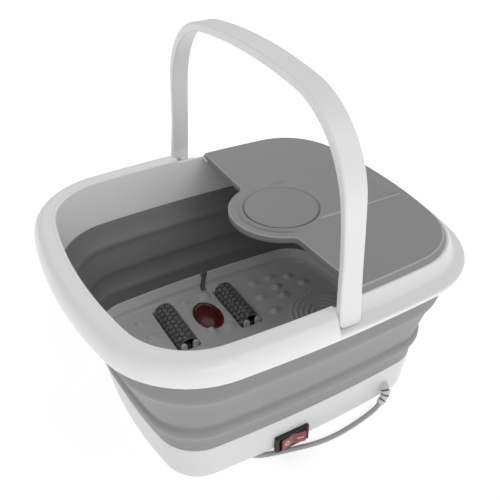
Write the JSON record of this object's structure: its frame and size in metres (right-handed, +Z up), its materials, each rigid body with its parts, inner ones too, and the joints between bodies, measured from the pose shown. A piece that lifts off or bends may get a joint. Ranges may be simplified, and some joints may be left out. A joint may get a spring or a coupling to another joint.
{
  "type": "collapsible foot spa basin",
  "caption": "Folding foot spa tub with a soft grey wall, white rim, carry bail, half lid, spinning massage rollers, red lamp domes, rocker switch and mains cord.",
  "frame": {"origin": "centre of the rim in plan, on the surface the basin stands on", "axes": "+X to the end covered by the half lid, +Y across the width, away from the side with the switch and cord, +Z up"},
  "size_m": [0.41, 0.4298, 0.4031],
  "materials": {
    "white_gloss": "smooth satin gloss",
    "white_inner": "fine matt",
    "white_handle": "satin",
    "soft_grey": "matt",
    "lid_grey": "satin",
    "disc_grey": "satin",
    "dark_grey": "satin",
    "black_plastic": "satin",
    "red_lens": "clear, dark red",
    "red_rocker": "gloss",
    "black_rubber": "matt",
    "steel": "bright",
    "brass": "bright",
    "board_green": "satin",
    "cord_grey": "satin",
    "clear_hose": "translucent",
    "led_clear": "clear"
  },
  "bodies": {
    "base": {"collapsible_wall": "soft_grey", "base_shell": "white_gloss", "tub_floor": "white_inner", "vent_insert": "dark_grey", "sensor_cap": "white_inner", "bottom_cover": "white_inner", "rubber_feet": "black_rubber", "cover_screws": "steel", "lens_far": "red_lens", "lens_near": "red_lens", "lens_seals": "black_rubber", "lamp_boards": "board_green", "lamp_leds": "led_clear", "ripple_disc": "white_inner", "heater_plate": "steel", "heater_element": "steel", "thermal_cutout": "steel", "air_pump": "black_plastic", "pump_mounts": "black_rubber", "air_tube": "clear_hose", "control_board": "board_green", "board_parts": "black_plastic", "board_posts": "brass", "switch_bezel": "black_plastic", "switch_body": "black_plastic", "strain_relief": "cord_grey", "power_cord": "cord_grey", "cord_coil": "cord_grey", "cord_tie": "black_rubber", "cord_tail": "cord_grey", "plug_body": "cord_grey", "plug_pins": "brass", "cord_clamp": "white_inner"},
    "rim": {"rim_frame": "white_gloss", "wall_collar": "soft_grey", "handle_pins": "white_gloss"},
    "bail": {"handle": "white_handle"},
    "half_lid": {"lid_panel": "lid_grey", "lid_pads": "black_rubber", "lid_disc": "disc_grey"},
    "roller_a": {"roller_far_left": "dark_grey"},
    "roller_b": {"roller_near_left": "dark_grey"},
    "roller_c": {"roller_far_right": "dark_grey"},
    "roller_d": {"roller_near_right": "dark_grey"},
    "rocker": {"switch_rocker": "red_rocker"}
  },
  "joints": [
    {"name": "basin_collapse", "type": "slide", "parent": "base", "child": "rim", "axis": [0, 0, -1], "range_m": [0, 0.086], "deforming": ["collapsible_wall"]},
    {"name": "handle_swing", "type": "hinge", "parent": "rim", "child": "bail", "pos_m": [0.0076, 0, 0.21], "axis": [0, 1, 0], "range_deg": [0, 88]},
    {"name": "lid_lift", "type": "slide", "parent": "rim", "child": "half_lid", "axis": [0.35, 0, 0.9367], "range_m": [0, 0.25]},
    {"name": "roller_spin_a", "type": "hinge", "parent": "base", "child": "roller_a", "pos_m": [-0.0586, 0.0685, 0.038], "axis": [0, 1, 0], "continuous": true},
    {"name": "roller_spin_b", "type": "hinge", "parent": "base", "child": "roller_b", "pos_m": [-0.0586, -0.0685, 0.038], "axis": [0, 1, 0], "continuous": true},
    {"name": "roller_spin_c", "type": "hinge", "parent": "base", "child": "roller_c", "pos_m": [0.027, 0.0685, 0.038], "axis": [0, 1, 0], "continuous": true},
    {"name": "roller_spin_d", "type": "hinge", "parent": "base", "child": "roller_d", "pos_m": [0.027, -0.0685, 0.038], "axis": [0, 1, 0], "continuous": true},
    {"name": "switch_rock", "type": "hinge", "parent": "base", "child": "rocker", "pos_m": [-0.019, -0.1306, 0.0206], "axis": [0, 0, 1], "range_deg": [0, 6]}
  ]
}
